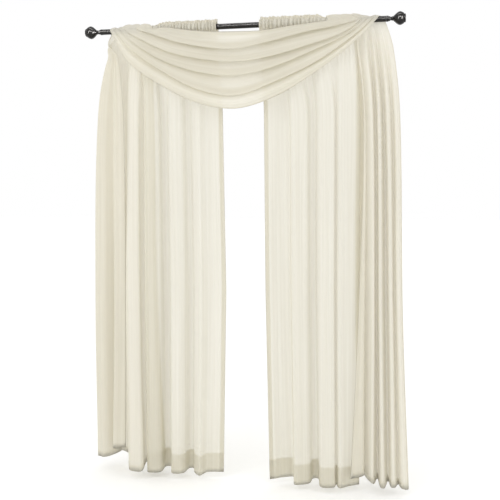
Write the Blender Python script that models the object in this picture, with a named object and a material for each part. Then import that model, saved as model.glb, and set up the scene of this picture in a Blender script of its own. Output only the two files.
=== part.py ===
"""Sheer window scarf draped over a curtain rod, with the two rod-pocket panels that share the rod.

Metres, +Z up. X runs along the rod, -Y faces the room, and the origin is the middle of the rod's axis.
"""
import math

import bmesh
import bpy
import numpy as np

MM = 0.001

# Rod and finials
ROD_RADIUS = 0.0127
ROD_HALF_LENGTH = 0.655
ROD_SIDES = 24
FINIAL_SIDES = 20
SAME_POINT = 1e-6

# Cloth
SCARF_THICKNESS = 0.0018
PANEL_THICKNESS = 0.0020
HEADER_THICKNESS = 0.0026

# Scarf over the rod: radii to the middle of the cloth
RADIUS_ON_ROD = 0.0142
RADIUS_ON_HEADER = 0.0256
FOLD_HEIGHT_ON_ROD = 0.0080
FOLD_HEIGHT_ON_HEADER = 0.0070
HEADER_ENDS_AT = 0.536
BARE_ROD_FROM = 0.562

# Swag: how deep its folds stand, how far each hangs over the next and leans over the one above
FOLD_DEPTH_AT_ROD = 0.014
FOLD_DEPTH_IN_MIDDLE = 0.042
OVERLAP_AT_ROD = 0.002
OVERLAP_IN_MIDDLE = 0.036
SWAG_BACK_Y = -0.034
FOLD_STEP_BACK = 0.005
LAST_FOLD_DEPTH = 0.8
LOW_EDGE_DEPTH = 0.45
SWAG_STATIONS = (0.15, 0.40, 0.70, 1.0)
LEAN_AT_ROD = -0.15
LEAN_IN_MIDDLE = 0.25

# Front edge of each fold of the swag, in mm: where it leaves the rod on the left, its drop below
# the rod's axis at each station from there to the middle and on to the right, and where it
# reaches the rod on the right.
SWAG_COLUMNS = ("left_x", "l15", "l40", "l70", "middle", "r70", "r40", "r15", "right_x")
SWAG_LINES = {
    "top_edge": (-400, -1, 14, 27, 32, 32, 18, 9, 395),
    "fold_1": (-470, 28, 71, 104, 118, 90, 53, 30, 520),
    "fold_2": (-530, 52, 115, 157, 176, 154, 108, 63, 545),
    "fold_3": (-560, 74, 157, 215, 237, 203, 136, 72, 568),
    "fold_4": (-585, 94, 198, 291, 325, 268, 184, 84, 592),
    "low_edge": (-612, 146, 257, 349, 383, 329, 217, 98, 616),
}

# Where the scarf lies along the rod, inner edge and outer edge, on top of it and behind it
LEFT_ON_TOP = (-0.425, -0.612)
LEFT_BEHIND = (-0.430, -0.618)
RIGHT_ON_TOP = (0.395, 0.630)
RIGHT_BEHIND = (0.500, 0.648)

# Tails of the scarf, in mm: a row for each front and back of a fold, from the inner edge out
UPPER_Z = -0.42
LOWER_Z = -1.28
TAIL_COLUMNS = ("upper_x", "upper_y", "lower_x", "lower_y", "hem_x", "hem_y", "hem_drop")
LEFT_TAIL = (
    (-425, 68, -420, 102, -392, 128, 2030),
    (-474, 52, -478, 38, -456, 54, 2032),
    (-484, 4, -469, -28, -445, -70, 2036),
    (-540, 10, -532, -28, -508, -60, 2034),
    (-568, 72, -564, 78, -548, 80, 2026),
    (-622, 98, -626, 108, -620, 118, 2014),
    (-699, 42, -714, 44, -706, 52, 2016),
    (-655, 27, -656, 14, -654, 18, 2014),
    (-604, 37, -592, 54, -596, 68, 1998),
    (-602, -7, -600, -8, -610, -4, 1962),
    (-546, -18, -537, -20, -538, -24, 1948),
)
RIGHT_TAIL = (
    (560, -16, 540, -32, 508, -48, 2007),
    (564, 11, 565, 0, 564, -15, 2000),
    (522, 70, 518, 106, 534, 120, 2016),
    (590, 2, 598, -14, 597, -26, 2026),
    (608, 58, 616, 68, 621, 72, 2044),
    (625, -8, 634, -24, 646, -44, 2039),
    (644, 56, 656, 64, 668, 62, 2047),
    (662, -4, 678, -18, 690, -34, 2037),
    (681, 34, 695, 38, 713, 28, 2045),
    (698, 4, 713, -6, 736, -20, 2046),
    (716, 36, 730, 34, 758, 8, 2053),
)

# Just below the rod: height, and how far each tail has come from the rod to its upper row there,
# sideways from the inner edge out and towards the room
HIGH_Z = -0.12
LEFT_HIGH_SPREAD = (0.55, 0.66, 0.55)
RIGHT_HIGH_SPREAD = (0.46, 0.55)
HIGH_SWING = 0.50

# Left tail's shoulder: how far its outer folds stand out just under the rod, and the folds it
# grows between
SHOULDER = 0.034
SHOULDER_FOLDS = (4, 6)

# Rows of mesh in each span between stations, from the left hem to the right hem
TAIL_SPANS = (4, 4, 2, 2)
WRAP_ANGLES = (0, 45, 90, 135, 180)
WRAP_SPANS = (2, 2, 2, 2)
SWAG_SPANS = (2, 3, 3, 3, 3, 3, 3, 2)
CELLS_PER_FOLD_SIDE = 3
FOLD_KNOT_POWER = 0.5

# Folds of the right tail past its flap: how much broader their fronts are than their backs
CREST_POWER = 2.0
FLAP_SIDES = 3

# Panels: the rod pocket, the ruffled header above it and the folds at the hem
POCKET_BOTTOM_Z = -0.052
POCKET_TOP_GAP = 0.0007
POCKET_SLACK = 0.0040
RUFFLE = 0.0062
RUFFLE_CRUSHED = 0.0020
RUFFLE_GONE_Z = -0.30
HEADER_TOP_Z = 0.0350
HEADER_CRUSHED_Z = 0.0200
HEADER_RAGGED = 0.0020
HEADER_RAGGED_TURN = 2.4
RUFFLE_CELLS = 48
POCKET_ANGLES = (-50, -5, 45)
HEADER_SHARES = (0.0, 0.4, 1.0)
PANEL_HEM_Z = -2.050
PANEL_MIDDLE_Z = -1.20
PANEL_TOP_Z = -0.42
HANGING_ZS = (PANEL_HEM_Z, -1.65, PANEL_MIDDLE_Z, -0.80, PANEL_TOP_Z, -0.22, -0.11)
FOLD_AT_TOP = 0.60
FOLD_AT_MIDDLE = 0.92

# Folds of each panel's hem, in mm, from the edge at the window gap outwards
LEFT_PANEL = {
    "header_x": (-101, -478),
    "edge_x": (-80, -67),
    "outer_x": (-452, -446),
    "crush_x": (352, 404),
    "hem": (
        (-80, 34),
        (-153, 17),
        (-178, -32),
        (-211, 0),
        (-231, 52),
        (-250, 45),
        (-261, -17),
        (-311, -29),
        (-339, 50),
        (-364, 44),
        (-368, -24),
        (-426, -37),
        (-436, 40),
    ),
}
RIGHT_PANEL = {
    "header_x": (96, 523),
    "edge_x": (116, 124),
    "outer_x": (543, 541),
    "crush_x": (350, 390),
    "hem": (
        (144, -12),
        (211, 29),
        (249, 35),
        (262, -50),
        (323, -25),
        (335, 33),
        (358, 37),
        (378, -54),
        (435, -51),
        (444, -13),
        (460, -52),
        (504, -18),
        (543, 8),
    ),
}

# Turned profiles, in mm: distance out from the middle of the rod, radius
CAP_PROFILE = ((655.3, 13.2), (663.5, 13.2), (664.2, 10.7), (671.5, 10.7))
FINIAL_PROFILE = (
    (671.8, 7.8),
    (677.0, 7.8),
    (677.4, 9.4),
    (683.0, 9.4),
    (686.0, 11.5),
    (697.0, 21.5),
    (705.0, 27.2),
    (713.0, 29.5),
    (722.0, 27.2),
    (730.0, 22.8),
    (731.5, 19.0),
    (733.5, 18.4),
    (738.0, 16.5),
)

# Colours: red, green, blue, roughness, metallic
CLOTH_COLOUR = (0.80, 0.77, 0.66, 0.85, 0.0)
PANEL_COLOUR = (0.85, 0.83, 0.75, 0.85, 0.0)
METAL_COLOUR = (0.05, 0.048, 0.046, 0.32, 1.0)


def clear_scene():
    for item in list(bpy.data.objects):
        bpy.data.objects.remove(item, do_unlink=True)


def make_material(name, colour):
    material = bpy.data.materials.new(name)
    material.use_nodes = True
    shader = material.node_tree.nodes["Principled BSDF"]
    shader.inputs["Base Color"].default_value = (*colour[:3], 1.0)
    shader.inputs["Roughness"].default_value = colour[3]
    shader.inputs["Metallic"].default_value = colour[4]
    return material


def add_object(name, bm, material):
    bmesh.ops.recalc_face_normals(bm, faces=bm.faces)
    mesh = bpy.data.meshes.new(name)
    bm.to_mesh(mesh)
    bm.free()
    mesh.materials.append(material)
    item = bpy.data.objects.new(name, mesh)
    bpy.context.collection.objects.link(item)
    return item


def ease(t):
    t = min(max(t, 0.0), 1.0)
    return t * t * (3.0 - 2.0 * t)


def lerp(a, b, t):
    return a + (b - a) * t


def spline(values, knots, cells):
    """Smooth curve through the values, with the given number of steps in each span."""
    values = np.asarray(values, dtype=float)
    last = len(values) - 1
    slopes = []
    for i in range(last + 1):
        before, after = max(i - 1, 0), min(i + 1, last)
        slopes.append((values[after] - values[before]) / (knots[after] - knots[before]))
    points = [values[0]]
    for i in range(last):
        span = knots[i + 1] - knots[i]
        for step in range(1, cells[i] + 1):
            t = step / cells[i]
            rise = ease(t)
            leave = t * (1 - t) ** 2 * span
            arrive = t * t * (t - 1) * span
            points.append(lerp(values[i], values[i + 1], rise) + slopes[i] * leave + slopes[i + 1] * arrive)
    return np.array(points)


def spread_knots(points, power):
    """Knots spaced by the distance between neighbours, raised to a power."""
    knots = [0.0]
    for a, b in zip(points[:-1], points[1:]):
        distance = np.mean(np.linalg.norm(np.atleast_2d(b) - np.atleast_2d(a), axis=1))
        knots.append(knots[-1] + max(distance, 1e-4) ** power)
    return knots


def grid_faces(bm, verts):
    for row, next_row in zip(verts[:-1], verts[1:]):
        for i in range(len(row) - 1):
            bm.faces.new((row[i], row[i + 1], next_row[i + 1], next_row[i]))


# Scarf


def radius_over_rod(x):
    """Radius of the scarf's inner folds: on the bare rod, or on the crushed header beside it."""
    t = ease((abs(x) - HEADER_ENDS_AT) / (BARE_ROD_FROM - HEADER_ENDS_AT))
    return lerp(RADIUS_ON_HEADER, RADIUS_ON_ROD, t)


def height_over_rod(x):
    t = ease((abs(x) - HEADER_ENDS_AT) / (BARE_ROD_FROM - HEADER_ENDS_AT))
    return lerp(FOLD_HEIGHT_ON_HEADER, FOLD_HEIGHT_ON_ROD, t)


def wrap_station(xs, angle):
    """One line of fold points round the rod; 0 degrees is behind it and 180 in front."""
    turn = math.radians(angle)
    points = []
    for j, x in enumerate(xs):
        radius = radius_over_rod(x) + (height_over_rod(x) if j % 2 else 0.0)
        points.append((x, radius * math.cos(turn), radius * math.sin(turn)))
    return np.array(points)


def front_xs(column):
    """Where the fold points leave the rod's front: each tip on its line, each valley behind it."""
    edges = [line[column] * MM for line in SWAG_LINES.values()]
    xs = [edges[0]]
    for k in range(1, len(edges)):
        xs.append(edges[k])
        xs.append(lerp(edges[k], edges[k - 1], LEAN_AT_ROD))
    xs[-2] = lerp(edges[-2], edges[-1], 0.5)
    xs[-1] = edges[-1]
    return xs


def swag_station(side_column, drop_column, fraction):
    """Fold points across the swag, part of the way from the rod to the middle."""
    middle = ease(fraction)
    depth = lerp(FOLD_DEPTH_AT_ROD, FOLD_DEPTH_IN_MIDDLE, middle)
    overlap = lerp(OVERLAP_AT_ROD, OVERLAP_IN_MIDDLE, middle)
    lean = lerp(LEAN_AT_ROD, LEAN_IN_MIDDLE, middle)
    lines = list(SWAG_LINES.values())
    xs = [line[side_column] * MM * (1.0 - fraction) for line in lines]
    zs = [-line[drop_column] * MM for line in lines]
    back = [SWAG_BACK_Y - FOLD_STEP_BACK * k * middle for k in range(len(lines))]
    points = [(xs[0], back[0], zs[0])]
    for k in range(1, len(lines) - 1):
        points.append((xs[k], back[k] - depth, zs[k]))
        points.append((lerp(xs[k], xs[k - 1], lean), back[k], zs[k] + overlap))
    half_x, half_z = (xs[-2] + xs[-1]) / 2, (zs[-2] + zs[-1]) / 2
    points.append((half_x, back[-1] - LAST_FOLD_DEPTH * depth, half_z))
    points.append((xs[-1], back[-1] - LOW_EDGE_DEPTH * depth, zs[-1]))
    return np.array(points)


def tail_stations(table, behind, spread):
    """Stations of one tail from its hem up to the back of the rod."""
    rows = np.array(table) * MM
    count = len(rows)
    hem = np.column_stack((rows[:, 4], rows[:, 5], -rows[:, 6]))
    lower = np.column_stack((rows[:, 2], rows[:, 3], np.full(count, LOWER_Z)))
    upper = np.column_stack((rows[:, 0], rows[:, 1], np.full(count, UPPER_Z)))
    top = wrap_station(np.linspace(behind[0], behind[1], count), WRAP_ANGLES[0])
    high = top.copy()
    share = np.interp(np.linspace(0, 1, count), np.linspace(0, 1, len(spread)), spread)
    high[:, 0] = lerp(top[:, 0], upper[:, 0], share)
    high[:, 1] = lerp(top[:, 1], upper[:, 1], HIGH_SWING)
    high[:, 2] = HIGH_Z
    return [hem, lower, upper, high, top]


def wrap_stations(behind, on_top, front):
    """Stations over the rod after the one behind it, up to the one in front."""
    count = len(front)
    back_xs = np.linspace(behind[0], behind[1], count)
    top_xs = np.linspace(on_top[0], on_top[1], count)
    stations = []
    for angle in WRAP_ANGLES[1:]:
        if angle <= 90:
            xs = lerp(back_xs, top_xs, angle / 90)
        else:
            xs = lerp(top_xs, np.array(front), (angle - 90) / 90)
        stations.append(wrap_station(xs, angle))
    return stations


def scarf_stations():
    """Every line of fold points from the left hem to the right hem, and the rows between them."""
    left = tail_stations(LEFT_TAIL, LEFT_BEHIND, LEFT_HIGH_SPREAD)
    left += wrap_stations(LEFT_BEHIND, LEFT_ON_TOP, front_xs(0))
    right = tail_stations(RIGHT_TAIL, RIGHT_BEHIND, RIGHT_HIGH_SPREAD)
    right += wrap_stations(RIGHT_BEHIND, RIGHT_ON_TOP, front_xs(len(SWAG_COLUMNS) - 1))
    swag = [swag_station(0, 1 + i, fraction) for i, fraction in enumerate(SWAG_STATIONS)]
    last = len(SWAG_COLUMNS) - 1
    swag += [swag_station(last, last - 1 - i, SWAG_STATIONS[i]) for i in (2, 1, 0)]
    stations = left + swag + right[::-1]
    cells = TAIL_SPANS + WRAP_SPANS + SWAG_SPANS + WRAP_SPANS + TAIL_SPANS[::-1]
    return stations, cells


def add_shoulder(controls):
    """Outer folds of the left tail moved outwards between the rod and the high row."""
    below = min(max(controls[:, 2].mean() / HIGH_Z, 0.0), 1.0)
    bulge = SHOULDER * math.sin(math.pi * below) ** 2
    for j in range(len(controls)):
        controls[j, 0] -= bulge * ease((j - SHOULDER_FOLDS[0]) / (SHOULDER_FOLDS[1] - SHOULDER_FOLDS[0]))


def broaden_crests(row, controls, across, share):
    """Folds of one row past the flap with broader fronts and narrower backs, by the share given."""
    for i in range(FLAP_SIDES, len(controls) - 1):
        front, back = sorted((controls[i][1], controls[i + 1][1]))
        side = row[i * across:(i + 1) * across + 1, 1]
        depth = np.clip((side - front) / max(back - front, 1e-6), 0.0, 1.0)
        side += share * (back - front) * (depth ** CREST_POWER - depth)


def scarf_surface(stations, cells, across):
    """Rows of points over the whole scarf: along its length first, then across its folds."""
    along = spline(stations, spread_knots(stations, 1.0), cells)
    right_tail = len(along) - sum(TAIL_SPANS)
    rows = []
    for k, controls in enumerate(along):
        if k < sum(TAIL_SPANS):
            add_shoulder(controls)
        knots = spread_knots(controls, FOLD_KNOT_POWER)
        row = spline(controls, knots, [across] * (len(controls) - 1))
        if k >= right_tail:
            share = ease((HIGH_Z - controls[:, 2].mean()) / (HIGH_Z - UPPER_Z))
            broaden_crests(row, controls, across, share)
        rows.append(row)
    return rows


def build_scarf(material):
    stations, cells = scarf_stations()
    rows = scarf_surface(stations, cells, CELLS_PER_FOLD_SIDE)
    bm = bmesh.new()
    verts = [[bm.verts.new(point) for point in row] for row in rows]
    grid_faces(bm, verts)
    item = add_object("scarf", bm, material)
    solid = item.modifiers.new("cloth", "SOLIDIFY")
    solid.thickness = SCARF_THICKNESS
    solid.offset = 0.0
    solid.use_quality_normals = True
    return item


# Panels


def panel_columns(panel):
    """For each column: x at the header, x and y at the hem, and how far the scarf crushes it."""
    hem = np.array(panel["hem"]) * MM
    spans = len(hem) - 1
    curve = spline(hem, spread_knots(hem, FOLD_KNOT_POWER), [RUFFLE_CELLS // spans] * spans)
    header = np.linspace(panel["header_x"][0], panel["header_x"][1], RUFFLE_CELLS + 1) * MM
    crush_from, crush_to = (value * MM for value in panel["crush_x"])
    columns = []
    for c, (x, (hem_x, hem_y)) in enumerate(zip(header, curve)):
        columns.append({
            "header_x": x,
            "hem_x": hem_x,
            "hem_y": hem_y,
            "crush": ease((abs(x) - crush_from) / (crush_to - crush_from)),
            "side": -1.0 if c % 2 else 1.0,
            "index": c,
        })
    return columns


def hanging_row(panel, columns, z):
    """Middle of the cloth at one height in plan, without ruffles: gathered above, folded below."""
    first, last = panel["hem"][0][0] * MM, panel["hem"][-1][0] * MM
    points = []
    for column in columns:
        share = (column["hem_x"] - first) / (last - first)
        top_x = lerp(panel["edge_x"][0], panel["outer_x"][0], share) * MM
        middle_x = lerp(panel["edge_x"][1], panel["outer_x"][1], share) * MM
        if z > PANEL_TOP_Z:
            t = ease((POCKET_BOTTOM_Z - z) / (POCKET_BOTTOM_Z - PANEL_TOP_Z))
            x = lerp(column["header_x"], top_x, t)
            fold = FOLD_AT_TOP * t
        elif z > PANEL_MIDDLE_Z:
            t = (PANEL_TOP_Z - z) / (PANEL_TOP_Z - PANEL_MIDDLE_Z)
            x = lerp(top_x, middle_x, t)
            fold = lerp(FOLD_AT_TOP, FOLD_AT_MIDDLE, t)
        else:
            t = (PANEL_MIDDLE_Z - z) / (PANEL_MIDDLE_Z - PANEL_HEM_Z)
            x = lerp(middle_x, column["hem_x"], t)
            fold = lerp(FOLD_AT_MIDDLE, 1.0, t)
        points.append((x, column["hem_y"] * fold))
    return np.array(points)


def plan_normals(points):
    """Direction square to the cloth in plan at each point, towards the window."""
    along = np.gradient(points, axis=0)
    along /= np.linalg.norm(along, axis=1)[:, None]
    sign = math.copysign(1.0, points[-1][0] - points[0][0])
    return sign * np.column_stack((-along[:, 1], along[:, 0]))


def ruffle_depth(column):
    return lerp(RUFFLE, RUFFLE_CRUSHED, column["crush"])


def pocket_line(columns, radius_step, turn, side):
    """One line of a pocket wall: every column at the same angle round the rod."""
    points = []
    for column in columns:
        radius = ROD_RADIUS + POCKET_SLACK + ruffle_depth(column) * (1.0 + column["side"]) + radius_step
        points.append((column["header_x"], side * radius * math.cos(turn), radius * math.sin(turn)))
    return points


def build_panel(name, panel, material):
    """One closed solid: the hanging sheet, the pocket's two walls round the rod and the header."""
    half = PANEL_THICKNESS / 2
    header_half = HEADER_THICKNESS / 2
    apex_z = ROD_RADIUS + POCKET_TOP_GAP
    bm = bmesh.new()
    front, back, inner_front, inner_back = [], [], [], []

    def add_line(lines, points):
        lines.append([bm.verts.new(point) for point in points])

    columns = panel_columns(panel)
    sides = np.array([column["side"] for column in columns])
    depths = np.array([ruffle_depth(column) for column in columns])
    for z in HANGING_ZS + (POCKET_BOTTOM_Z,):
        row = hanging_row(panel, columns, z)
        normals = plan_normals(row)
        fade = 1.0 - ease((POCKET_BOTTOM_Z - z) / (POCKET_BOTTOM_Z - RUFFLE_GONE_Z))
        row[:, 1] += sides * depths * fade
        add_line(front, [(x, y, z) for x, y in row - half * normals])
        add_line(back, [(x, y, z) for x, y in row + half * normals])
    low_join = len(front) - 1
    seam = [bm.verts.new((x, y, POCKET_BOTTOM_Z + half)) for x, y in row]
    inner_front.append(seam)
    inner_back.append(seam)

    for angle in POCKET_ANGLES:
        turn = math.radians(angle)
        add_line(front, pocket_line(columns, half, turn, -1))
        add_line(inner_front, pocket_line(columns, -half, turn, -1))
        add_line(inner_back, pocket_line(columns, -half, turn, 1))
        add_line(back, pocket_line(columns, half, turn, 1))

    crest = [bm.verts.new((column["header_x"], 0.0, apex_z)) for column in columns]
    inner_front.append(crest)
    inner_back.append(crest)
    for share in HEADER_SHARES:
        points = []
        for column in columns:
            ragged = HEADER_RAGGED * math.sin(HEADER_RAGGED_TURN * column["index"])
            top = lerp(HEADER_TOP_Z + ragged, HEADER_CRUSHED_Z, column["crush"])
            z = lerp(apex_z + 2 * half, top, share)
            points.append((column["header_x"], column["side"] * ruffle_depth(column) * share, z))
        add_line(front, [(x, y - header_half, z) for x, y, z in points])
        add_line(back, [(x, y + header_half, z) for x, y, z in points])
    top_join = len(front) - len(HEADER_SHARES)

    for lines in (front, back, inner_front, inner_back):
        grid_faces(bm, lines)
    grid_faces(bm, [front[0], back[0]])
    grid_faces(bm, [front[-1], back[-1]])
    for c in (0, len(columns) - 1):
        for k in range(len(front) - 1):
            if k < low_join - 1 or k > top_join - 1:
                corners = [front[k], front[k + 1], back[k + 1], back[k]]
                if k == top_join:
                    corners.append(crest)
                bm.faces.new([line[c] for line in corners])
            elif k == low_join - 1:
                corners = [front[k], front[k + 1], seam, back[k + 1], back[k]]
                bm.faces.new([line[c] for line in corners])
            else:
                i = k - low_join
                wall = [front[k], front[k + 1], inner_front[i + 1], inner_front[i]]
                bm.faces.new([line[c] for line in wall])
                wall = [back[k], back[k + 1], inner_back[i + 1], inner_back[i]]
                bm.faces.new([line[c] for line in wall])
    return add_object(name, bm, material)


# Rod and finials


def turned(name, profile, side, material, sides):
    """Solid turned about the rod's axis from a profile of distance and radius, on one side."""
    bm = bmesh.new()
    points = [(side * distance * MM, 0.0, radius * MM) for distance, radius in profile]
    points.insert(0, (points[0][0], 0.0, 0.0))
    points.append((points[-1][0], 0.0, 0.0))
    verts = [bm.verts.new(point) for point in points]
    edges = [bm.edges.new(pair) for pair in zip(verts[:-1], verts[1:])]
    bmesh.ops.spin(
        bm, geom=verts + edges, cent=(0, 0, 0), axis=(1, 0, 0), dvec=(0, 0, 0),
        angle=2 * math.pi, steps=sides, use_merge=True,
    )
    bmesh.ops.remove_doubles(bm, verts=bm.verts, dist=SAME_POINT)
    item = add_object(name, bm, material)
    item.data.shade_smooth()
    item.data.set_sharp_from_angle(angle=math.radians(35))
    return item


def build_hardware(material):
    reach = ROD_HALF_LENGTH / MM
    radius = ROD_RADIUS / MM
    turned("rod", ((-reach, radius), (reach, radius)), 1, material, ROD_SIDES)
    for name, side in (("left", -1), ("right", 1)):
        turned(f"rod_cap_{name}", CAP_PROFILE, side, material, FINIAL_SIDES)
        turned(f"finial_{name}", FINIAL_PROFILE, side, material, FINIAL_SIDES)


def main():
    clear_scene()
    metal = make_material("rod_metal", METAL_COLOUR)
    cloth = make_material("scarf_voile", CLOTH_COLOUR)
    panel_cloth = make_material("panel_voile", PANEL_COLOUR)
    build_hardware(metal)
    build_panel("panel_left", LEFT_PANEL, panel_cloth)
    build_panel("panel_right", RIGHT_PANEL, panel_cloth)
    build_scarf(cloth)


main()
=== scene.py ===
"""Sheer window scarf over a curtain rod with two rod-pocket panels: the dressed model and its studio."""
import math

import bpy
import numpy as np
from mathutils import Euler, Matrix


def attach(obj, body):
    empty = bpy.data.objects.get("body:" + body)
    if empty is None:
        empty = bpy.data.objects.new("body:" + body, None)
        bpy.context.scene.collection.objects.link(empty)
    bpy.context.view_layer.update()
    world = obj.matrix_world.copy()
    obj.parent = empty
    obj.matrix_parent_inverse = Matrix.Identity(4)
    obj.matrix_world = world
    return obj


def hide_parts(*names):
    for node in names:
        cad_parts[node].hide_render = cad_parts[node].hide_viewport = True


MM = 0.001
TINY = 1e-9

# Rod and cloth sizes, as in the solids
ROD_RADIUS = 0.0127
ROD_HALF_LENGTH = 0.655
RADIUS_ON_ROD = 0.0142
RADIUS_ON_HEADER = 0.0256
FOLD_HEIGHT_ON_ROD = 0.0050
FOLD_HEIGHT_ON_HEADER = 0.0042
HEADER_ENDS_AT = 0.536
BARE_ROD_FROM = 0.562

# Swag: how deep its folds stand, how far each hangs over the next and leans over the one above
FOLD_DEPTH_AT_ROD = 0.014
FOLD_DEPTH_IN_MIDDLE = 0.042
OVERLAP_AT_ROD = 0.002
OVERLAP_IN_MIDDLE = 0.036
SWAG_BACK_Y = -0.034
FOLD_STEP_BACK = 0.005
LAST_FOLD_DEPTH = 0.8
LOW_EDGE_DEPTH = 0.45
SWAG_STATIONS = (0.15, 0.40, 0.70, 1.0)
LEAN_AT_ROD = -0.15
LEAN_IN_MIDDLE = 0.25

# Front edge of each fold of the swag, in mm: where it leaves the rod on the left, its drop below
# the rod's axis at each station from there to the middle and on to the right, and where it
# reaches the rod on the right.
SWAG_COLUMNS = ("left_x", "l15", "l40", "l70", "middle", "r70", "r40", "r15", "right_x")
SWAG_LINES = {
    "top_edge": (-400, -1, 14, 27, 32, 32, 18, 9, 395),
    "fold_1": (-470, 28, 71, 104, 118, 90, 53, 30, 520),
    "fold_2": (-530, 52, 115, 157, 176, 154, 108, 63, 545),
    "fold_3": (-560, 74, 157, 215, 237, 203, 136, 72, 568),
    "fold_4": (-585, 94, 198, 291, 325, 268, 184, 84, 592),
    "low_edge": (-612, 146, 257, 349, 383, 329, 217, 98, 616),
}

# Where the scarf lies along the rod, inner edge and outer edge, on top of it and behind it
LEFT_ON_TOP = (-0.425, -0.612)
LEFT_BEHIND = (-0.430, -0.618)
RIGHT_ON_TOP = (0.395, 0.630)
RIGHT_BEHIND = (0.500, 0.648)

# Tails of the scarf, in mm: a row for each front and back of a fold, from the inner edge out
UPPER_Z = -0.42
LOWER_Z = -1.28
TAIL_COLUMNS = ("upper_x", "upper_y", "lower_x", "lower_y", "hem_x", "hem_y", "hem_drop")
LEFT_TAIL = (
    (-425, 68, -420, 102, -392, 128, 2030),
    (-474, 52, -478, 38, -456, 54, 2032),
    (-484, 4, -469, -28, -445, -70, 2036),
    (-540, 10, -532, -28, -508, -60, 2034),
    (-568, 72, -564, 78, -548, 80, 2026),
    (-622, 98, -626, 108, -620, 118, 2014),
    (-699, 42, -714, 44, -706, 52, 2016),
    (-655, 27, -656, 14, -654, 18, 2014),
    (-604, 37, -592, 54, -596, 68, 1998),
    (-602, -7, -600, -8, -610, -4, 1962),
    (-546, -18, -537, -20, -538, -24, 1948),
)
RIGHT_TAIL = (
    (560, -16, 540, -32, 508, -48, 2007),
    (564, 11, 565, 0, 564, -15, 2000),
    (522, 70, 518, 106, 534, 120, 2016),
    (590, 2, 598, -14, 597, -26, 2026),
    (608, 58, 616, 68, 621, 72, 2044),
    (625, -8, 634, -24, 646, -44, 2039),
    (644, 56, 656, 64, 668, 62, 2047),
    (662, -4, 678, -18, 690, -34, 2037),
    (681, 34, 695, 38, 713, 28, 2045),
    (698, 4, 713, -6, 736, -20, 2046),
    (716, 36, 730, 34, 758, 8, 2053),
)

# Just below the rod: height, and how far each tail has come from the rod to its upper row there,
# sideways from the inner edge out and towards the room
HIGH_Z = -0.12
LEFT_HIGH_SPREAD = (0.55, 0.66, 0.55)
RIGHT_HIGH_SPREAD = (0.46, 0.55)
HIGH_SWING = 0.50

# Left tail's shoulder: how far its outer folds stand out just under the rod, and the folds it
# grows between
SHOULDER = 0.034
SHOULDER_FOLDS = (4, 6)

# Rows of mesh in each span between stations, from the left hem to the right hem
TAIL_ROWS = (26, 26, 14, 8)
WRAP_ANGLES = (0, 45, 90, 135, 180)
WRAP_ROWS = (4, 4, 4, 4)
SWAG_ROWS = (8, 10, 12, 12, 12, 12, 10, 8)
CELLS_PER_FOLD_SIDE = 14
FOLD_KNOT_POWER = 0.5
SHORTEST_STEP = 1e-4

# Folds of the right tail past its flap: how much broader their fronts are than their backs
CREST_POWER = 2.0
FLAP_SIDES = 3

# Creases laid on the scarf. Stations count from the left hem, 0, through the middle of
# the swag, 12, to the right hem, 24; folds count from the inner edge, 0, to the outer one, 10.
# Each crease rises to its height over a fifth of its length and falls away as fast.
CREASE_RISE = 5.0
CREASE_COLUMNS = ("station_from", "fold_from", "station_to", "fold_to", "height_mm", "width_in_folds")
SCARF_CREASES = (
    (8.2, 0.30, 11.4, 0.55, -2.0, 0.16),
    (8.2, 1.25, 10.6, 0.62, 2.4, 0.20),
    (8.4, 2.70, 11.2, 2.50, -2.2, 0.22),
    (8.6, 4.60, 10.8, 4.45, 2.2, 0.22),
    (8.8, 6.55, 11.0, 6.40, -2.4, 0.24),
    (8.4, 8.50, 10.4, 8.30, 2.4, 0.22),
    (9.4, 9.20, 11.6, 9.00, -2.0, 0.24),
    (12.8, 0.50, 15.9, 0.35, -2.0, 0.16),
    (13.0, 0.75, 15.8, 1.20, 2.2, 0.18),
    (12.7, 2.55, 15.8, 2.75, -2.6, 0.22),
    (13.0, 4.35, 15.7, 4.60, 2.6, 0.20),
    (12.8, 6.40, 15.8, 6.60, -2.6, 0.22),
    (13.2, 8.35, 15.6, 8.55, 2.6, 0.22),
    (12.6, 9.10, 14.6, 9.25, -2.2, 0.24),
    (8.0, 4.15, 9.6, 4.30, -3.5, 0.16),
    (8.0, 6.15, 9.8, 6.30, -3.5, 0.16),
    (14.6, 4.25, 16.0, 4.15, -3.5, 0.16),
    (14.4, 6.25, 16.0, 6.15, -3.5, 0.16),
    (-0.2, 6.35, 0.9, 6.45, -5.0, 0.10),
    (-0.2, 6.80, 0.7, 6.72, -4.5, 0.09),
    (0.2, 7.30, 2.6, 7.40, 2.6, 0.20),
    (0.4, 9.45, 2.9, 9.50, 2.4, 0.18),
    (-0.2, 2.45, 2.6, 2.50, -3.0, 0.20),
    (-0.2, 2.80, 1.2, 2.75, 2.4, 0.12),
    (0.5, 5.50, 2.4, 5.60, 3.0, 0.20),
    (0.9, 7.66, 3.2, 7.60, -4.5, 0.12),
    (1.5, 9.34, 3.3, 9.30, -5.0, 0.10),
    (21.4, 3.20, 24.2, 3.10, 2.2, 0.14),
    (21.6, 4.80, 24.2, 4.85, 2.2, 0.14),
    (21.4, 7.30, 24.2, 7.25, 2.4, 0.16),
    (22.2, 8.50, 24.2, 8.45, 3.0, 0.24),
    (21.6, 9.60, 24.2, 9.55, -2.6, 0.18),
    (21.5, 0.45, 24.2, 0.50, 2.2, 0.16),
)

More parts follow.
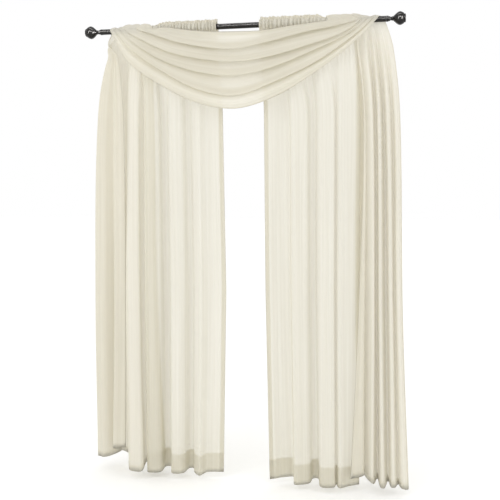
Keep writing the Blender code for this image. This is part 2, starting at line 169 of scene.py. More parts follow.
# Panels: the rod pocket, the ruffled header above it and the folds at the hem
POCKET_BOTTOM_Z = -0.052
POCKET_TOP_GAP = 0.0007
POCKET_SLACK = 0.0040
POCKET_ANGLES = (-50, -5, 45)
RUFFLE = 0.0062
RUFFLE_CRUSHED = 0.0020
RUFFLE_GONE_Z = -0.30
HEADER_TOP_Z = 0.0350
HEADER_CRUSHED_Z = 0.0200
HEADER_RAGGED_DROP = 0.001
HEADER_BACK_SWING = 0.1
RUFFLE_CELLS = 48
CELLS_PER_RUFFLE_SIDE = 8
PANEL_HEM_Z = -2.050
PANEL_MIDDLE_Z = -1.20
PANEL_TOP_Z = -0.42
FOLD_AT_TOP = 0.60
FOLD_AT_MIDDLE = 0.92
PANEL_ROWS = 90
POCKET_ROWS = 12
HEADER_ROWS = 6
LAYER_GAP = 0.0011
BOTTOM_HEM = 0.076
SIDE_HEM_CELLS = 8
SCARF_HEM_CELLS = 3

# Unevenness of the ruffles, as waves across a panel: size, pace per column and start. The first
# two shift the ruffles sideways by that many columns, the third varies their depth by that share,
# and the last two raise and lower the header's top. The first one's start differs between panels.
RUFFLE_DRIFT = (0.26, 0.83)
RUFFLE_JITTER = (0.14, 2.1)
RUFFLE_SWELL = (0.18, 1.3, 0.5)
RUFFLE_START_PER_M = 30
RAGGED_TOP = ((0.00132, 1.1, 0.7), (0.00072, 2.9, 0.0))

# Folds of each panel's hem, in mm, from the edge at the window gap outwards
LEFT_PANEL = {
    "header_x": (-101, -478),
    "edge_x": (-80, -67),
    "outer_x": (-452, -446),
    "crush_x": (352, 404),
    "hem": (
        (-80, 34),
        (-153, 17),
        (-178, -32),
        (-211, 0),
        (-231, 52),
        (-250, 45),
        (-261, -17),
        (-311, -29),
        (-339, 50),
        (-364, 44),
        (-368, -24),
        (-426, -37),
        (-436, 40),
    ),
}
RIGHT_PANEL = {
    "header_x": (96, 526),
    "edge_x": (116, 124),
    "outer_x": (543, 541),
    "crush_x": (350, 390),
    "hem": (
        (144, -12),
        (211, 29),
        (249, 35),
        (262, -50),
        (323, -25),
        (335, 33),
        (358, 37),
        (378, -54),
        (435, -51),
        (444, -13),
        (460, -52),
        (504, -18),
        (543, 8),
    ),
}

# Soft folds laid on the panels: column from the window gap out, 0 to 48, at the top and
# at the bottom, their heights, height in mm towards the room and width in columns. Each rises
# within the first quarter of its length and is gone a little past its end.
PANEL_CREASE_RISE = 4
PANEL_CREASE_FALL = 6
PANEL_CREASE_END = 1.08
PANEL_CREASE_COLUMNS = ("column_high", "z_high", "column_low", "z_low", "height_mm", "width")
LEFT_PANEL_CREASES = (
    (1.4, -0.30, 1.2, -2.06, 3.0, 0.45),
    (2.7, -0.38, 2.9, -1.70, -3.0, 0.45),
    (5.8, -0.34, 5.2, -2.06, 2.6, 0.7),
    (10.2, -0.40, 10.0, -1.60, -2.4, 0.8),
    (25.4, -0.36, 25.2, -2.06, 2.6, 0.5),
    (26.8, -0.32, 26.8, -1.80, -2.4, 0.4),
    (41.2, -0.40, 41.4, -2.06, 2.6, 0.5),
    (42.9, -0.36, 42.7, -1.90, -2.2, 0.4),
)
RIGHT_PANEL_CREASES = (
    (1.3, -0.32, 1.5, -2.06, 3.0, 0.45),
    (2.9, -0.38, 2.6, -2.06, -3.0, 0.45),
    (6.0, -0.30, 6.2, -1.75, 2.4, 0.7),
    (13.2, -0.36, 13.0, -2.06, 2.6, 0.5),
    (14.8, -0.42, 14.9, -1.90, -2.4, 0.4),
    (29.4, -0.40, 29.2, -2.06, 2.6, 0.5),
    (30.9, -0.30, 31.0, -1.80, -2.4, 0.4),
    (41.4, -0.34, 41.2, -2.06, 2.4, 0.5),
    (37.2, -0.16, 36.8, -1.90, -7.0, 0.8),
)

# Turned profiles, in mm: distance out from the middle of the rod, radius
TURNED_SIDES = 72
ROD_BEVEL = 0.4
BALL_CELLS = 4
SHARP_ANGLE = 28
WELD_DISTANCE = 1e-6
CAP_PROFILE = (
    (655.3, 12.7), (655.8, 13.2), (658.8, 13.2), (659.2, 12.7), (659.8, 12.7), (660.2, 13.2),
    (663.1, 13.2), (663.6, 12.7), (664.2, 10.9), (664.8, 10.7), (671.0, 10.7), (671.5, 10.2),
)
NECK_PROFILE = (
    (671.8, 7.4), (672.2, 7.8), (676.6, 7.8), (677.0, 8.0), (677.5, 9.0), (678.6, 9.4),
    (681.8, 9.4), (682.9, 9.0), (683.4, 8.6),
)
BALL_PROFILE = (
    (684.0, 9.4), (688.5, 13.6), (694.0, 18.8), (700.0, 23.8), (705.5, 27.3), (711.0, 29.2),
    (713.4, 29.5), (716.0, 29.1), (721.0, 27.4), (726.0, 24.9), (730.0, 22.4),
)
END_PROFILE = (
    (730.6, 21.4), (730.9, 19.2), (731.6, 18.6), (732.4, 18.9), (733.2, 19.2), (735.4, 18.9),
    (736.9, 18.0), (737.7, 16.6), (738.0, 14.0),
)

# Colours, linear
SCARF_COLOURS = ((0.798, 0.764, 0.658, 1.0), (0.872, 0.842, 0.746, 1.0))
PANEL_COLOURS = ((0.755, 0.722, 0.608, 1.0), (0.832, 0.804, 0.706, 1.0))
METAL_COLOUR = (0.022, 0.021, 0.020, 1.0)
FLOOR_COLOUR = (0.93, 0.93, 0.92, 1.0)
WHITE = (1.0, 1.0, 1.0, 1.0)

# Surfaces, by the names of the shader's inputs
VOILE_SURFACE = {
    "Roughness": 0.85,
    "Specular IOR Level": 0.15,
    "Sheen Weight": 0.12,
    "Sheen Roughness": 0.6,
}
METAL_SURFACE = {
    "Base Color": METAL_COLOUR,
    "Metallic": 0.9,
    "Coat Weight": 0.20,
    "Coat Roughness": 0.12,
}
FLOOR_SURFACE = {
    "Base Color": FLOOR_COLOUR,
    "Roughness": 0.9,
    "Specular IOR Level": 0.1,
    "Emission Color": WHITE,
    "Emission Strength": 0.12,
}

# Cloth, with its alpha and the share of light that comes through it
SCARF_VOILE = {"colours": SCARF_COLOURS, "alpha": 0.88, "glow": 0.32}
PANEL_VOILE = {"colours": PANEL_COLOURS, "alpha": 0.73, "glow": 0.30}
HEADER_VOILE = {"colours": SCARF_COLOURS, "alpha": 0.98, "glow": 0.30}

# Texture of the voile, over metres of cloth: streaks along the threads, and the weave
STREAKS_PER_M = (95.0, 1.1, 1.0)
STREAK_NOISE = {"Scale": 1.0, "Detail": 5.0, "Roughness": 0.62}
STREAK_ENDS = (0.30, 0.72)
WEAVE_SCALE = 340.0
WEAVE_BUMP = {"Strength": 0.22, "Distance": 0.0006}

# Texture of the metal: faint marks along the bar
MARKS_PER_M = (6.0, 260.0, 260.0)
MARK_NOISE = {"Scale": 1.0, "Detail": 3.0}
METAL_ROUGHNESS = {"To Min": 0.14, "To Max": 0.24}

FLOOR_Z = -2.078
FLOOR_HALF = 40.0

# Lights: place, what each looks at, size across and up, and power. The streaks are narrow and
# seen only in the metal.
LIGHTS = {
    "key": ((-2.6, -3.4, 1.6), (0.0, 0.0, -0.9), (2.0, 2.4), 26.0),
    "side": ((3.4, -1.6, 0.4), (0.2, 0.0, -0.8), (0.8, 2.6), 8.0),
}
STREAK_LIGHTS = {
    "streak_front": ((0.2, -3.0, 0.95), (0.0, 0.0, 0.0), (5.0, 0.20), 175.0),
    "streak_over": ((0.0, -0.9, 2.6), (0.0, 0.0, 0.0), (4.0, 0.30), 80.0),
    "streak_left": ((-2.4, -2.6, -0.1), (0.0, 0.0, 0.0), (0.22, 1.8), 120.0),
    "streak_right": ((2.9, -2.0, -0.1), (0.0, 0.0, 0.0), (0.22, 1.8), 120.0),
}

# Camera, from the photo's vanishing lines
CAMERA_AT = (0.6886, -3.2078, -0.779)
CAMERA_YAW = 11.25
CAMERA_FOCAL_PX = 722.0
IMAGE_PX = 500.0
HORIZON_RISE_PX = 52.0
SHIFT_PX = 39.0
SENSOR_MM = 36.0
SEES_TO = 200.0


def ease(t):
    t = min(max(t, 0.0), 1.0)
    return t * t * (3.0 - 2.0 * t)


def lerp(a, b, t):
    return a + (b - a) * t


def spline(values, knots, cells):
    """Smooth curve through the values, with the given number of steps in each span."""
    values = np.asarray(values, dtype=float)
    last = len(values) - 1
    slopes = []
    for i in range(last + 1):
        before, after = max(i - 1, 0), min(i + 1, last)
        slopes.append((values[after] - values[before]) / (knots[after] - knots[before]))
    points = [values[0]]
    for i in range(last):
        span = knots[i + 1] - knots[i]
        for step in range(1, cells[i] + 1):
            t = step / cells[i]
            leave = t * (1 - t) ** 2 * span
            arrive = t * t * (t - 1) * span
            bend = slopes[i] * leave + slopes[i + 1] * arrive
            points.append(lerp(values[i], values[i + 1], ease(t)) + bend)
    return np.array(points)


def spread_knots(points, power):
    """Knots spaced by the distance between neighbours, raised to a power."""
    knots = [0.0]
    for a, b in zip(points[:-1], points[1:]):
        distance = np.mean(np.linalg.norm(np.atleast_2d(b) - np.atleast_2d(a), axis=1))
        knots.append(knots[-1] + max(distance, SHORTEST_STEP) ** power)
    return knots


# Grids of cloth


def grid_normals(grid):
    """Unit normal at each point of a grid of points."""
    along = np.gradient(grid, axis=0)
    across = np.gradient(grid, axis=1)
    normals = np.cross(along, across)
    lengths = np.linalg.norm(normals, axis=2, keepdims=True)
    return normals / np.maximum(lengths, TINY)


def distance_along(grid, axis):
    """Distance in metres from the first point of each line, along one axis of the grid."""
    steps = np.linalg.norm(np.diff(grid, axis=axis), axis=2)
    total = np.cumsum(steps, axis=axis)
    pad = [(0, 0), (0, 0)]
    pad[axis] = (1, 0)
    return np.pad(total, pad)


def hem_sides(grid, normals, cells, gap):
    """The grid with its two long edges turned under by some cells, a little behind the cloth."""
    first = grid[:, cells:0:-1] + gap * normals[:, cells:0:-1]
    last = grid[:, -2:-cells - 2:-1] + gap * normals[:, -2:-cells - 2:-1]
    return np.concatenate((first, grid, last), axis=1)


def hem_ends(grid, normals, cells, gap):
    """The same for the first and last rows."""
    first = grid[cells:0:-1] + gap * normals[cells:0:-1]
    last = grid[-2:-cells - 2:-1] + gap * normals[-2:-cells - 2:-1]
    return np.concatenate((first, grid, last), axis=0)


def cloth_object(name, grid, material, cad_node):
    """A sheet of cloth from a grid of points, its texture map in metres along and across."""
    rows, columns = grid.shape[:2]
    index = np.arange(rows * columns).reshape(rows, columns)
    faces = np.stack((index[:-1, :-1], index[:-1, 1:], index[1:, 1:], index[1:, :-1]), axis=-1)
    mesh = bpy.data.meshes.new(name)
    mesh.from_pydata(grid.reshape(-1, 3).tolist(), [], faces.reshape(-1, 4).tolist())
    mesh.update()
    across = distance_along(grid, 1).mean(axis=0)
    along = distance_along(grid, 0).mean(axis=1)
    uv = np.stack(np.meshgrid(across, along), axis=-1).reshape(-1, 2)
    layer = mesh.uv_layers.new(name="cloth")
    loops = np.empty(len(mesh.loops), dtype=np.int32)
    mesh.loops.foreach_get("vertex_index", loops)
    layer.data.foreach_set("uv", uv[loops].ravel())
    mesh.shade_smooth()
    mesh.materials.append(material)
    piece = bpy.data.objects.new(name, mesh)
    bpy.context.collection.objects.link(piece)
    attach(piece, "root")
    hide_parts(cad_node)
    return piece


# Scarf


def share_on_rod(x):
    return ease((abs(x) - HEADER_ENDS_AT) / (BARE_ROD_FROM - HEADER_ENDS_AT))


def wrap_station(xs, angle):
    """One line of fold points round the rod; 0 degrees is behind it and 180 in front."""
    turn = math.radians(angle)
    points = []
    for j, x in enumerate(xs):
        radius = lerp(RADIUS_ON_HEADER, RADIUS_ON_ROD, share_on_rod(x))
        if j % 2:
            radius += lerp(FOLD_HEIGHT_ON_HEADER, FOLD_HEIGHT_ON_ROD, share_on_rod(x))
        points.append((x, radius * math.cos(turn), radius * math.sin(turn)))
    return np.array(points)


def front_xs(column):
    """Where the fold points leave the rod's front: each tip on its line, each valley behind it."""
    edges = [line[column] * MM for line in SWAG_LINES.values()]
    xs = [edges[0]]
    for k in range(1, len(edges)):
        xs.append(edges[k])
        xs.append(lerp(edges[k], edges[k - 1], LEAN_AT_ROD))
    xs[-2] = lerp(edges[-2], edges[-1], 0.5)
    xs[-1] = edges[-1]
    return xs


def swag_station(side_column, drop_column, fraction):
    """Fold points across the swag, part of the way from the rod to the middle."""
    middle = ease(fraction)
    depth = lerp(FOLD_DEPTH_AT_ROD, FOLD_DEPTH_IN_MIDDLE, middle)
    overlap = lerp(OVERLAP_AT_ROD, OVERLAP_IN_MIDDLE, middle)
    lean = lerp(LEAN_AT_ROD, LEAN_IN_MIDDLE, middle)
    lines = list(SWAG_LINES.values())
    xs = [line[side_column] * MM * (1.0 - fraction) for line in lines]
    zs = [-line[drop_column] * MM for line in lines]
    back = [SWAG_BACK_Y - FOLD_STEP_BACK * k * middle for k in range(len(lines))]
    points = [(xs[0], back[0], zs[0])]
    for k in range(1, len(lines) - 1):
        points.append((xs[k], back[k] - depth, zs[k]))
        points.append((lerp(xs[k], xs[k - 1], lean), back[k], zs[k] + overlap))
    half_x, half_z = (xs[-2] + xs[-1]) / 2, (zs[-2] + zs[-1]) / 2
    points.append((half_x, back[-1] - LAST_FOLD_DEPTH * depth, half_z))
    points.append((xs[-1], back[-1] - LOW_EDGE_DEPTH * depth, zs[-1]))
    return np.array(points)


def tail_stations(table, behind, spread):
    """Stations of one tail from its hem up to the back of the rod."""
    folds = dict(zip(TAIL_COLUMNS, (np.array(table) * MM).T))
    count = len(table)
    hem = np.column_stack((folds["hem_x"], folds["hem_y"], -folds["hem_drop"]))
    lower = np.column_stack((folds["lower_x"], folds["lower_y"], np.full(count, LOWER_Z)))
    upper = np.column_stack((folds["upper_x"], folds["upper_y"], np.full(count, UPPER_Z)))
    top = wrap_station(np.linspace(behind[0], behind[1], count), WRAP_ANGLES[0])
    high = top.copy()
    share = np.interp(np.linspace(0, 1, count), np.linspace(0, 1, len(spread)), spread)
    high[:, 0] = lerp(top[:, 0], upper[:, 0], share)
    high[:, 1] = lerp(top[:, 1], upper[:, 1], HIGH_SWING)
    high[:, 2] = HIGH_Z
    return [hem, lower, upper, high, top]


def wrap_stations(behind, on_top, front):
    """Stations over the rod after the one behind it, up to the one in front."""
    count = len(front)
    back_xs = np.linspace(behind[0], behind[1], count)
    top_xs = np.linspace(on_top[0], on_top[1], count)
    stations = []
    for angle in WRAP_ANGLES[1:]:
        if angle <= 90:
            xs = lerp(back_xs, top_xs, angle / 90)
        else:
            xs = lerp(top_xs, np.array(front), (angle - 90) / 90)
        stations.append(wrap_station(xs, angle))
    return stations


def scarf_stations():
    """Every line of fold points from the left hem to the right hem, and the rows between them."""
    left = tail_stations(LEFT_TAIL, LEFT_BEHIND, LEFT_HIGH_SPREAD)
    left += wrap_stations(LEFT_BEHIND, LEFT_ON_TOP, front_xs(0))
    last = len(SWAG_COLUMNS) - 1
    right = tail_stations(RIGHT_TAIL, RIGHT_BEHIND, RIGHT_HIGH_SPREAD)
    right += wrap_stations(RIGHT_BEHIND, RIGHT_ON_TOP, front_xs(last))
    swag = [swag_station(0, 1 + i, fraction) for i, fraction in enumerate(SWAG_STATIONS)]
    swag += [swag_station(last, last - 1 - i, SWAG_STATIONS[i]) for i in (2, 1, 0)]
    stations = left + swag + right[::-1]
    cells = TAIL_ROWS + WRAP_ROWS + SWAG_ROWS + WRAP_ROWS + TAIL_ROWS[::-1]
    return stations, cells


def crease_field(stations, folds, table):
    """Height of the listed creases at each station and fold position of the grid."""
    height = np.zeros((len(stations), len(folds)))
    for row in table:
        crease = dict(zip(CREASE_COLUMNS, row))
        t = (stations - crease["station_from"]) / (crease["station_to"] - crease["station_from"])
        line = lerp(crease["fold_from"], crease["fold_to"], t)
        inside = np.clip(np.minimum(t, 1 - t) * CREASE_RISE, 0.0, 1.0)
        fade = inside * inside * (3 - 2 * inside)
        shape = np.exp(-((folds[None, :] - line[:, None]) / crease["width_in_folds"]) ** 2)
        height += crease["height_mm"] * MM * fade[:, None] * shape
    return height


def add_shoulder(controls):
    """Outer folds of the left tail moved outwards between the rod and the high row."""
    below = min(max(controls[:, 2].mean() / HIGH_Z, 0.0), 1.0)
    bulge = SHOULDER * math.sin(math.pi * below) ** 2
    grows_from, grown_at = SHOULDER_FOLDS
    for j in range(len(controls)):
        controls[j, 0] -= bulge * ease((j - grows_from) / (grown_at - grows_from))


def broaden_crests(row, controls, across, share):
    """Folds of one row past the flap with broader fronts and narrower backs, by the share given."""
    for i in range(FLAP_SIDES, len(controls) - 1):
        front, back = sorted((controls[i][1], controls[i + 1][1]))
        side = row[i * across:(i + 1) * across + 1, 1]
        depth = np.clip((side - front) / max(back - front, TINY), 0.0, 1.0)
        side += share * (back - front) * (depth ** CREST_POWER - depth)


def scarf_grid():
    """The whole scarf as a grid of points, from the left hem to the right hem, with its creases."""
    stations, cells = scarf_stations()
    along = spline(stations, spread_knots(stations, 1.0), cells)
    right_tail = len(along) - sum(TAIL_ROWS)
    rows = []
    for k, controls in enumerate(along):
        if k < sum(TAIL_ROWS):
            add_shoulder(controls)
        knots = spread_knots(controls, FOLD_KNOT_POWER)
        row = spline(controls, knots, [CELLS_PER_FOLD_SIDE] * (len(controls) - 1))
        if k >= right_tail:
            share = ease((HIGH_Z - controls[:, 2].mean()) / (HIGH_Z - UPPER_Z))
            broaden_crests(row, controls, CELLS_PER_FOLD_SIDE, share)
        rows.append(row)
    grid = np.array(rows)
    positions = [0.0]
    for i, count in enumerate(cells):
        positions += [i + step / count for step in range(1, count + 1)]
    folds = np.linspace(0, stations[0].shape[0] - 1, grid.shape[1])
    normals = grid_normals(grid)
    grid += normals * crease_field(np.array(positions), folds, SCARF_CREASES)[:, :, None]
    return grid


def make_scarf(material):
    grid = scarf_grid()
    normals = grid_normals(grid)
    grid = hem_sides(grid, normals, SCARF_HEM_CELLS, LAYER_GAP)
    normals = grid_normals(grid)
    grid = hem_ends(grid, normals, 1, LAYER_GAP)
    piece = cloth_object("scarf_cloth", grid, material, "scarf")


# Panels


def wave(place, size, pace, start=0.0):
    """A gentle wave across a panel's columns."""
    return size * np.sin(pace * place + start)


def panel_columns(panel):
    """For each fine column: its place, x at the header, x and y at the hem, crush and ruffle."""
    hem = np.array(panel["hem"]) * MM
    spans = len(hem) - 1
    fine = RUFFLE_CELLS * CELLS_PER_RUFFLE_SIDE
    curve = spline(hem, spread_knots(hem, FOLD_KNOT_POWER), [fine // spans] * spans)
    place = np.linspace(0, RUFFLE_CELLS, fine + 1)
    header = np.linspace(panel["header_x"][0], panel["header_x"][1], fine + 1) * MM
    crush_from, crush_to = (value * MM for value in panel["crush_x"])
    crush = np.array([ease((abs(x) - crush_from) / (crush_to - crush_from)) for x in header])
    start = header[0] * RUFFLE_START_PER_M
    uneven = place + wave(place, *RUFFLE_DRIFT, start) + wave(place, *RUFFLE_JITTER)
    ruffle = np.cos(math.pi * uneven) * (1.0 - RUFFLE_SWELL[0] + wave(place, *RUFFLE_SWELL))
    return {
        "place": place, "header_x": header, "hem_x": curve[:, 0], "hem_y": curve[:, 1],
        "crush": crush, "ruffle": ruffle, "depth": lerp(RUFFLE, RUFFLE_CRUSHED, crush),
    }


def hanging_row(panel, columns, z):
    """Middle of the cloth at one height in plan, without ruffles: gathered above, folded below."""
    first, last = panel["hem"][0][0] * MM, panel["hem"][-1][0] * MM
    share = (columns["hem_x"] - first) / (last - first)
    top_x = lerp(panel["edge_x"][0], panel["outer_x"][0], share) * MM
    middle_x = lerp(panel["edge_x"][1], panel["outer_x"][1], share) * MM
    if z > PANEL_TOP_Z:
        t = ease((POCKET_BOTTOM_Z - z) / (POCKET_BOTTOM_Z - PANEL_TOP_Z))
        x = lerp(columns["header_x"], top_x, t)
        fold = FOLD_AT_TOP * t
    elif z > PANEL_MIDDLE_Z:
        t = (PANEL_TOP_Z - z) / (PANEL_TOP_Z - PANEL_MIDDLE_Z)
        x = lerp(top_x, middle_x, t)
        fold = lerp(FOLD_AT_TOP, FOLD_AT_MIDDLE, t)
    else:
        t = (PANEL_MIDDLE_Z - z) / (PANEL_MIDDLE_Z - PANEL_HEM_Z)
        x = lerp(middle_x, columns["hem_x"], t)
        fold = lerp(FOLD_AT_MIDDLE, 1.0, t)
    return np.column_stack((x, columns["hem_y"] * fold, np.full(len(x), z)))


def panel_crease(columns, z, table):
    """Height of the listed folds along one row, towards the room."""
    height = np.zeros(len(columns["place"]))
    for row in table:
        crease = dict(zip(PANEL_CREASE_COLUMNS, row))
        t = (crease["z_high"] - z) / (crease["z_high"] - crease["z_low"])
        if t > 0:
            centre = lerp(crease["column_high"], crease["column_low"], t)
            fade = ease(t * PANEL_CREASE_RISE) * ease((PANEL_CREASE_END - t) * PANEL_CREASE_FALL)
            shape = np.exp(-((columns["place"] - centre) / crease["width"]) ** 2)
            height += crease["height_mm"] * MM * fade * shape
    return height


def panel_grid(panel, creases):
    """Rows of one panel: up the front from the hem, over the header and down the pocket's back."""
    columns = panel_columns(panel)
    ruffle, depth = columns["ruffle"], columns["depth"]
    rows = []
    zs = np.linspace(PANEL_HEM_Z, POCKET_BOTTOM_Z, PANEL_ROWS + 1)
    for z in zs:
        row = hanging_row(panel, columns, z)
        fade = 1.0 - ease((POCKET_BOTTOM_Z - z) / (POCKET_BOTTOM_Z - RUFFLE_GONE_Z))
        row[:, 1] += ruffle * depth * fade - panel_crease(columns, z, creases)
        rows.append(row)
    apex_z = ROD_RADIUS + POCKET_TOP_GAP
    seam = rows[-1]
    half_gap = LAYER_GAP / 2

    def pocket_row(angle, side):
        radius = ROD_RADIUS + POCKET_SLACK + depth * (1.0 + ruffle)
        return np.column_stack((
            columns["header_x"],
            side * radius * math.cos(angle),
            radius * math.sin(angle),
        ))

    def pocket_wall(side):
        """Knots of one wall from the seam under the rod to the seam above it."""
        crest = np.column_stack((
            columns["header_x"],
            np.full(len(ruffle), side * half_gap),
            np.full(len(ruffle), apex_z + half_gap),
        ))
        start = seam + np.array((0, side * half_gap, 0))
        around = [pocket_row(math.radians(angle), side) for angle in POCKET_ANGLES]
        walls = [start] + around + [crest]
        count = len(walls) - 1
        return spline(np.array(walls), spread_knots(walls, 1.0), [POCKET_ROWS // count] * count)

    def header_row(share, side):
        ragged = sum(wave(columns["place"], *row) for row in RAGGED_TOP)
        top_z = HEADER_TOP_Z - HEADER_RAGGED_DROP + ragged
        top = lerp(top_z, HEADER_CRUSHED_Z, columns["crush"])
        swing = ruffle * depth * share * (1 + HEADER_BACK_SWING * side)
        return np.column_stack((
            columns["header_x"],
            swing + side * half_gap,
            lerp(apex_z + half_gap, top, share),
        ))

    rows += list(pocket_wall(-1)[1:])
    shares = [(i + 1) / HEADER_ROWS for i in range(HEADER_ROWS)]
    rows += [header_row(share, -1) for share in shares]
    rows += [header_row(share, 1) for share in reversed(shares)]
    rows += list(pocket_wall(1)[::-1])
    return np.array(rows), zs


def make_panel(name, panel, creases, materials):
    """One panel, its hem turned under, in one material below and another from the pocket up."""
    grid, zs = panel_grid(panel, creases)
    toward_window = grid_normals(grid)
    if toward_window[PANEL_ROWS // 2, :, 1].mean() < 0:
        toward_window = -toward_window
    hem_rows = int(np.searchsorted(zs, PANEL_HEM_Z + BOTTOM_HEM))
    turned = grid[hem_rows:0:-1] + LAYER_GAP * toward_window[hem_rows:0:-1]
    grid = np.concatenate((turned, grid), axis=0)
    normals = grid_normals(grid)
    if normals[PANEL_ROWS // 2 + hem_rows, :, 1].mean() < 0:
        normals = -normals
    grid = hem_sides(grid, normals, SIDE_HEM_CELLS, LAYER_GAP / 2)
    piece = cloth_object(f"{name}_cloth", grid, materials[0], name)
    piece.data.materials.append(materials[1])
    columns = grid.shape[1] - 1
    pocket_from = (len(zs) - 1 + hem_rows) * columns
    for face in piece.data.polygons[pocket_from:]:
        face.material_index = 1


# Rod and finials


def turned_object(name, profile, side, material, nodes):
    """A solid turned about the rod's axis from a profile of distance and radius, on one side."""
    points = [(profile[0][0], 0.0), *profile, (profile[-1][0], 0.0)]
    verts, faces = [], []
    for distance, radius in points:
        for k in range(TURNED_SIDES):
            turn = 2 * math.pi * k / TURNED_SIDES
            verts.append((
                side * distance * MM, radius * MM * math.cos(turn), radius * MM * math.sin(turn),
            ))
    for i in range(len(points) - 1):
        for k in range(TURNED_SIDES):
            after = (k + 1) % TURNED_SIDES
            face = [
                i * TURNED_SIDES + k, i * TURNED_SIDES + after,
                (i + 1) * TURNED_SIDES + after, (i + 1) * TURNED_SIDES + k,
            ]
            faces.append(face if side < 0 else face[::-1])
    mesh = bpy.data.meshes.new(name)
    mesh.from_pydata(verts, [], faces)
    mesh.shade_smooth()
    mesh.set_sharp_from_angle(angle=math.radians(SHARP_ANGLE))
    mesh.materials.append(material)
    piece = bpy.data.objects.new(name, mesh)
    bpy.context.collection.objects.link(piece)
    weld = piece.modifiers.new("weld", "WELD")
    weld.merge_threshold = WELD_DISTANCE
    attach(piece, "root")
    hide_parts(*nodes)


def make_hardware(material):
    reach = ROD_HALF_LENGTH / MM
    radius = ROD_RADIUS / MM
    end_radius = radius - ROD_BEVEL
    bevel_at = reach - ROD_BEVEL
    rod = ((-reach, end_radius), (-bevel_at, radius), (bevel_at, radius), (reach, end_radius))
    turned_object("rod_bar", rod, 1, material, ["rod"])
    ball = np.array(BALL_PROFILE)
    ball = spline(ball, spread_knots(ball[:, None, :], 1.0), [BALL_CELLS] * (len(ball) - 1))
    finial = list(NECK_PROFILE) + [tuple(point) for point in ball] + list(END_PROFILE)
    for name, side in (("left", -1), ("right", 1)):
        turned_object(f"cap_{name}", CAP_PROFILE, side, material, [f"rod_cap_{name}"])
        turned_object(f"ball_{name}", finial, side, material, [f"finial_{name}"])


# Materials


def link(tree, source, output, target, socket):
    tree.links.new(source.outputs[output], target.inputs[socket])


def set_inputs(node, values):
    for name, value in values.items():
        node.inputs[name].default_value = value


def new_surface(name, values):
    """A material with its shader's inputs set, and the tree and shader to go on with."""
    material = bpy.data.materials.new(name)
    material.use_nodes = True
    shader = material.node_tree.nodes["Principled BSDF"]
    set_inputs(shader, values)
    return material, material.node_tree, shader


def voile(name, colours, alpha, glow):
    """Sheer voile: soft streaks along the threads, a fine weave, and light coming through."""
    material, tree, shader = new_surface(name, VOILE_SURFACE)
    set_inputs(shader, {"Alpha": alpha})
    place = tree.nodes.new("ShaderNodeUVMap")
    place.uv_map = "cloth"
    streaks = tree.nodes.new("ShaderNodeMapping")
    set_inputs(streaks, {"Scale": STREAKS_PER_M})
    noise = tree.nodes.new("ShaderNodeTexNoise")
    set_inputs(noise, STREAK_NOISE)
    ramp = tree.nodes.new("ShaderNodeValToRGB")
    for element, position, colour in zip(ramp.color_ramp.elements, STREAK_ENDS, colours):
        element.position = position
        element.color = colour
    link(tree, place, "UV", streaks, "Vector")
    link(tree, streaks, "Vector", noise, "Vector")
    link(tree, noise, "Fac", ramp, "Fac")
    link(tree, ramp, "Color", shader, "Base Color")
    weave = tree.nodes.new("ShaderNodeMath")
    weave.operation = "MULTIPLY"
    for socket, direction in enumerate("XY"):
        threads = tree.nodes.new("ShaderNodeTexWave")
        threads.bands_direction = direction
        set_inputs(threads, {"Scale": WEAVE_SCALE})
        link(tree, place, "UV", threads, "Vector")
        link(tree, threads, "Fac", weave, socket)
    slub = tree.nodes.new("ShaderNodeMath")
    slub.operation = "ADD"
    bump = tree.nodes.new("ShaderNodeBump")
    set_inputs(bump, WEAVE_BUMP)
    link(tree, weave, 0, slub, 0)
    link(tree, noise, "Fac", slub, 1)
    link(tree, slub, 0, bump, "Height")
    link(tree, bump, "Normal", shader, "Normal")
    through = tree.nodes.new("ShaderNodeBsdfTranslucent")
    link(tree, ramp, "Color", through, "Color")
    mix = tree.nodes.new("ShaderNodeMixShader")
    mix.inputs[0].default_value = glow
    link(tree, shader, 0, mix, 1)
    link(tree, through, 0, mix, 2)
    link(tree, mix, 0, tree.nodes["Material Output"], "Surface")
    return material


def gunmetal():
    """Dark polished metal with faint marks along the bar."""
    material, tree, shader = new_surface("gunmetal", METAL_SURFACE)
    place = tree.nodes.new("ShaderNodeTexCoord")
    brushed = tree.nodes.new("ShaderNodeMapping")
    set_inputs(brushed, {"Scale": MARKS_PER_M})
    noise = tree.nodes.new("ShaderNodeTexNoise")
    set_inputs(noise, MARK_NOISE)
    rough = tree.nodes.new("ShaderNodeMapRange")
    set_inputs(rough, METAL_ROUGHNESS)
    link(tree, place, "Object", brushed, "Vector")
    link(tree, brushed, "Vector", noise, "Vector")
    link(tree, noise, "Fac", rough, "Value")
    link(tree, rough, "Result", shader, "Roughness")
    return material


# Studio


def make_floor():
    mesh = bpy.data.meshes.new("floor")
    signs = ((-1, -1), (1, -1), (1, 1), (-1, 1))
    square = [(x * FLOOR_HALF, y * FLOOR_HALF, FLOOR_Z) for x, y in signs]
    mesh.from_pydata(square, [], [(0, 1, 2, 3)])
    mesh.materials.append(new_surface("pale_floor", FLOOR_SURFACE)[0])
    floor = bpy.data.objects.new("floor", mesh)
    bpy.context.collection.objects.link(floor)


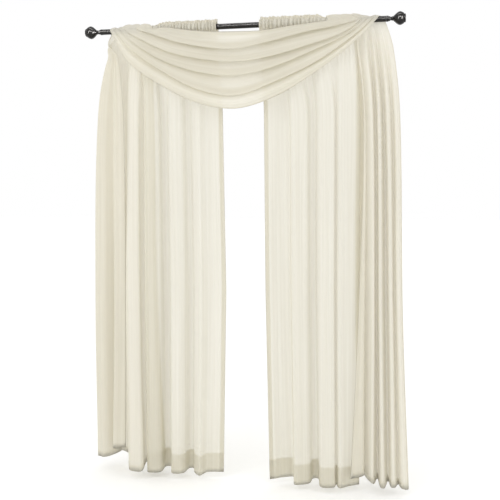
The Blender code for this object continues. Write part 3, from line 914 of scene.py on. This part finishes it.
def add_area(name, place, look_at, size, power):
    light = bpy.data.lights.new(name, "AREA")
    light.shape = "RECTANGLE"
    light.size, light.size_y = size
    light.energy = power
    item = bpy.data.objects.new(name, light)
    item.location = place
    direction = np.array(look_at) - np.array(place)
    yaw = math.atan2(-direction[0], direction[1])
    pitch = math.atan2(direction[2], math.hypot(direction[0], direction[1]))
    item.rotation_euler = Euler((math.pi / 2 + pitch, 0.0, yaw))
    bpy.context.collection.objects.link(item)
    return item


def make_studio():
    scene = bpy.context.scene
    world = bpy.data.worlds.new("studio")
    world.use_nodes = True
    set_inputs(world.node_tree.nodes["Background"], {"Color": WHITE, "Strength": 1.0})
    scene.world = world
    scene.view_settings.view_transform = "Standard"
    for name, row in LIGHTS.items():
        add_area(name, *row)
    for name, row in STREAK_LIGHTS.items():
        item = add_area(name, *row)
        item.visible_diffuse = False
        item.visible_transmission = False
    make_floor()


def make_camera():
    data = bpy.data.cameras.new("camera")
    data.sensor_width = SENSOR_MM
    data.lens = CAMERA_FOCAL_PX / IMAGE_PX * data.sensor_width
    data.shift_y = -SHIFT_PX / IMAGE_PX
    data.clip_end = SEES_TO
    camera = bpy.data.objects.new("camera", data)
    camera.location = CAMERA_AT
    pitch = -math.atan((HORIZON_RISE_PX - SHIFT_PX) / CAMERA_FOCAL_PX)
    camera.rotation_euler = Euler((math.pi / 2 + pitch, 0.0, math.radians(CAMERA_YAW)))
    bpy.context.collection.objects.link(camera)
    bpy.context.scene.camera = camera


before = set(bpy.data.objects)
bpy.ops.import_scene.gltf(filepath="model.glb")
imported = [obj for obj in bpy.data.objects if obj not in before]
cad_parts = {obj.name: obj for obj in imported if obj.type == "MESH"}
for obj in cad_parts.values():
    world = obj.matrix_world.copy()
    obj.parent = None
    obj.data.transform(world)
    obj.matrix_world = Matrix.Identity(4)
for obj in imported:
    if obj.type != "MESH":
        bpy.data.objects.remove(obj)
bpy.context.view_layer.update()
make_camera()
scarf_voile = voile("scarf_voile", **SCARF_VOILE)
panel_cloths = (voile("panel_voile", **PANEL_VOILE), voile("header_voile", **HEADER_VOILE))
make_panel("panel_left", LEFT_PANEL, LEFT_PANEL_CREASES, panel_cloths)
make_panel("panel_right", RIGHT_PANEL, RIGHT_PANEL_CREASES, panel_cloths)
make_scarf(scarf_voile)
make_hardware(gunmetal())
make_studio()
